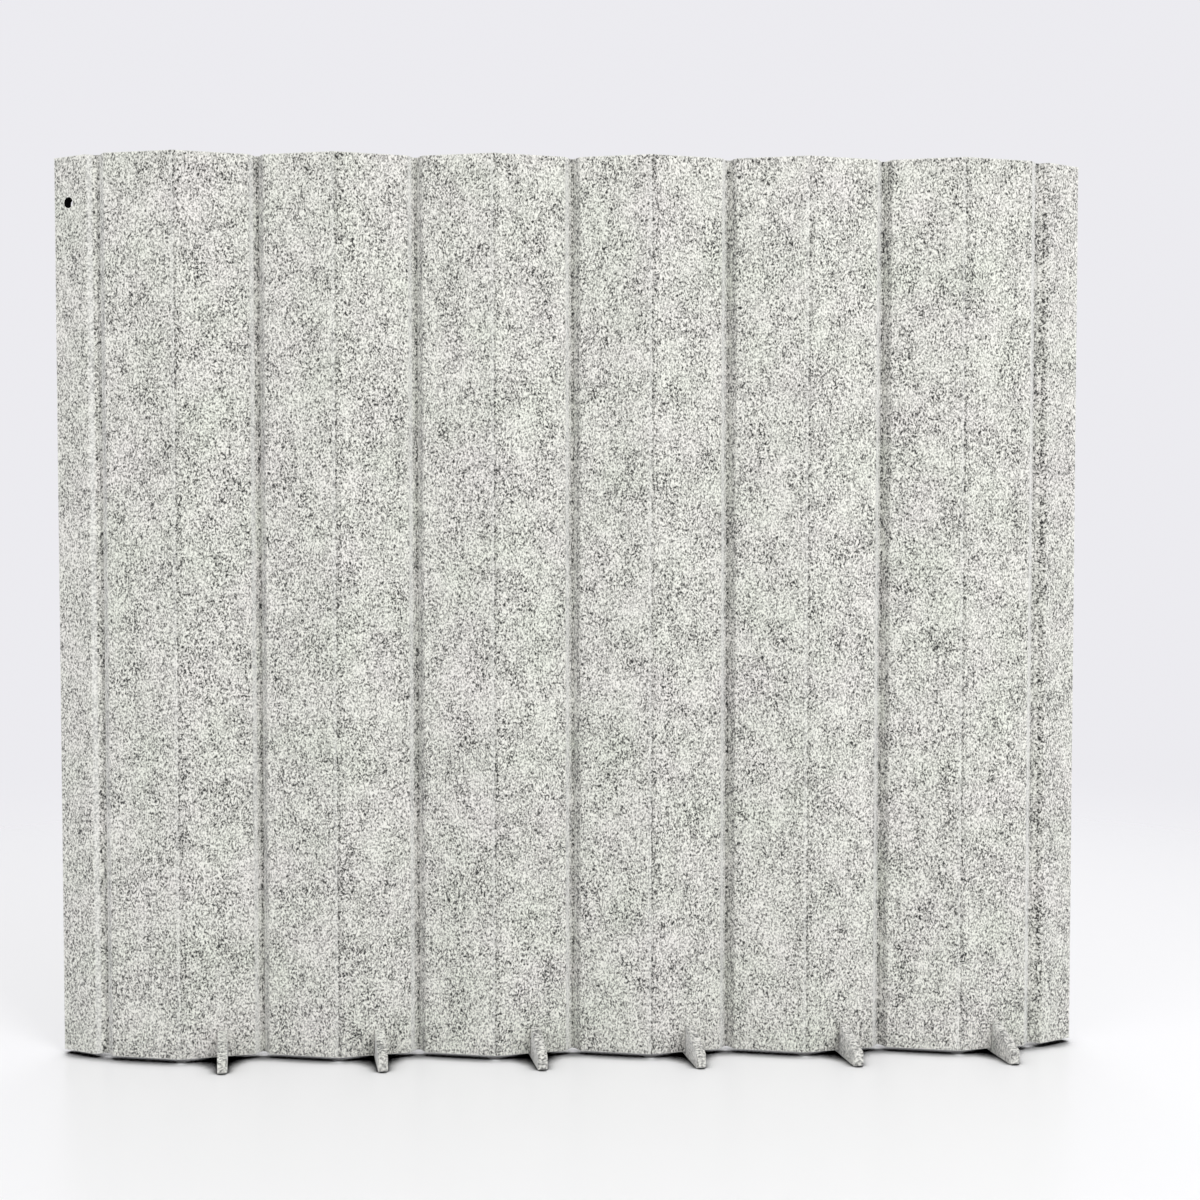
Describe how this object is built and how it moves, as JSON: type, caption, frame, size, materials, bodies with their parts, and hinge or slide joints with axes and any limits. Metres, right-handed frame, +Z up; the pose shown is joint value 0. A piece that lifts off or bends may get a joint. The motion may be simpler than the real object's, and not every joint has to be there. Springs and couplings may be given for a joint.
{
  "type": "acoustic folding screen",
  "caption": "Free-standing acoustic screen of thick grey marled felt, scored into upright panels, standing as a zigzag on slotted felt feet, with a hanging hole near one top corner.",
  "frame": {"origin": "on the floor, at the middle of the box of the standing screen", "axes": "+X along the screen to the viewer's right, +Y from the front towards the back, +Z up"},
  "size_m": [1.9474, 0.1704, 1.7],
  "materials": {
    "felt_board": "needled felt, pale grey marl with dark flecks",
    "felt_fold": "the same felt, left thin at the bottom of a groove",
    "felt_foot": "the same felt, cut on edge"
  },
  "bodies": {
    "leaf_00": {"end_panel_left": "felt_board"},
    "leaf_01": {"panel_01": "felt_board", "fold_web_00": "felt_fold"},
    "leaf_02": {"panel_02": "felt_board", "fold_web_01": "felt_fold"},
    "leaf_03": {"panel_03": "felt_board", "fold_web_02": "felt_fold"},
    "leaf_04": {"panel_04": "felt_board", "fold_web_03": "felt_fold"},
    "leaf_05": {"panel_05": "felt_board", "fold_web_04": "felt_fold"},
    "leaf_06": {"panel_06": "felt_board", "fold_web_05": "felt_fold", "fold_web_06": "felt_fold"},
    "leaf_07": {"panel_07": "felt_board", "fold_web_07": "felt_fold"},
    "leaf_08": {"panel_08": "felt_board", "fold_web_08": "felt_fold"},
    "leaf_09": {"panel_09": "felt_board", "fold_web_09": "felt_fold"},
    "leaf_10": {"panel_10": "felt_board", "fold_web_10": "felt_fold"},
    "leaf_11": {"panel_11": "felt_board", "fold_web_11": "felt_fold"},
    "leaf_12": {"panel_12": "felt_board", "fold_web_12": "felt_fold"},
    "leaf_13": {"end_panel_right": "felt_board"},
    "foot_1_piece": {"foot_1": "felt_foot"},
    "foot_2_piece": {"foot_2": "felt_foot"},
    "foot_3_piece": {"foot_3": "felt_foot"},
    "foot_4_piece": {"foot_4": "felt_foot"},
    "foot_5_piece": {"foot_5": "felt_foot"},
    "foot_6_piece": {"foot_6": "felt_foot"}
  },
  "joints": [
    {"name": "fold_00", "type": "hinge", "parent": "leaf_01", "child": "leaf_00", "pos_m": [-0.88419, 0.02186, 0.85], "axis": [0, 0, 1], "range_deg": [-105, 105], "deforming": ["fold_web_00"]},
    {"name": "fold_01", "type": "hinge", "parent": "leaf_02", "child": "leaf_01", "pos_m": [-0.73682, -0.02186, 0.85], "axis": [0, 0, -1], "range_deg": [-142, 68], "deforming": ["fold_web_01"]},
    {"name": "fold_02", "type": "hinge", "parent": "leaf_03", "child": "leaf_02", "pos_m": [-0.58946, 0.02186, 0.85], "axis": [0, 0, 1], "range_deg": [-142, 68], "deforming": ["fold_web_02"]},
    {"name": "fold_03", "type": "hinge", "parent": "leaf_04", "child": "leaf_03", "pos_m": [-0.4421, -0.02186, 0.85], "axis": [0, 0, -1], "range_deg": [-142, 68], "deforming": ["fold_web_03"]},
    {"name": "fold_04", "type": "hinge", "parent": "leaf_05", "child": "leaf_04", "pos_m": [-0.29473, 0.02186, 0.85], "axis": [0, 0, 1], "range_deg": [-142, 68], "deforming": ["fold_web_04"]},
    {"name": "fold_05", "type": "hinge", "parent": "leaf_06", "child": "leaf_05", "pos_m": [-0.14736, -0.02186, 0.85], "axis": [0, 0, -1], "range_deg": [-142, 68], "deforming": ["fold_web_05"]},
    {"name": "fold_06", "type": "hinge", "parent": "leaf_06", "child": "leaf_07", "pos_m": [0, 0.02186, 0.85], "axis": [0, 0, -1], "range_deg": [-142, 68], "deforming": ["fold_web_06"]},
    {"name": "fold_07", "type": "hinge", "parent": "leaf_07", "child": "leaf_08", "pos_m": [0.14736, -0.02186, 0.85], "axis": [0, 0, 1], "range_deg": [-142, 68], "deforming": ["fold_web_07"]},
    {"name": "fold_08", "type": "hinge", "parent": "leaf_08", "child": "leaf_09", "pos_m": [0.29473, 0.02186, 0.85], "axis": [0, 0, -1], "range_deg": [-142, 68], "deforming": ["fold_web_08"]},
    {"name": "fold_09", "type": "hinge", "parent": "leaf_09", "child": "leaf_10", "pos_m": [0.4421, -0.02186, 0.85], "axis": [0, 0, 1], "range_deg": [-142, 68], "deforming": ["fold_web_09"]},
    {"name": "fold_10", "type": "hinge", "parent": "leaf_10", "child": "leaf_11", "pos_m": [0.58946, 0.02186, 0.85], "axis": [0, 0, -1], "range_deg": [-142, 68], "deforming": ["fold_web_10"]},
    {"name": "fold_11", "type": "hinge", "parent": "leaf_11", "child": "leaf_12", "pos_m": [0.73682, -0.02186, 0.85], "axis": [0, 0, 1], "range_deg": [-142, 68], "deforming": ["fold_web_11"]},
    {"name": "fold_12", "type": "hinge", "parent": "leaf_12", "child": "leaf_13", "pos_m": [0.88419, 0.02186, 0.85], "axis": [0, 0, -1], "range_deg": [-105, 105], "deforming": ["fold_web_12"]},
    {"name": "foot_1_pull", "type": "slide", "parent": "leaf_02", "child": "foot_1_piece", "axis": [0, 0, -1], "range_m": [0, 0.055]},
    {"name": "foot_2_pull", "type": "slide", "parent": "leaf_04", "child": "foot_2_piece", "axis": [0, 0, -1], "range_m": [0, 0.055]},
    {"name": "foot_3_pull", "type": "slide", "parent": "leaf_06", "child": "foot_3_piece", "axis": [0, 0, -1], "range_m": [0, 0.055]},
    {"name": "foot_4_pull", "type": "slide", "parent": "leaf_08", "child": "foot_4_piece", "axis": [0, 0, -1], "range_m": [0, 0.055]},
    {"name": "foot_5_pull", "type": "slide", "parent": "leaf_10", "child": "foot_5_piece", "axis": [0, 0, -1], "range_m": [0, 0.055]},
    {"name": "foot_6_pull", "type": "slide", "parent": "leaf_12", "child": "foot_6_piece", "axis": [0, 0, -1], "range_m": [0, 0.055]}
  ]
}
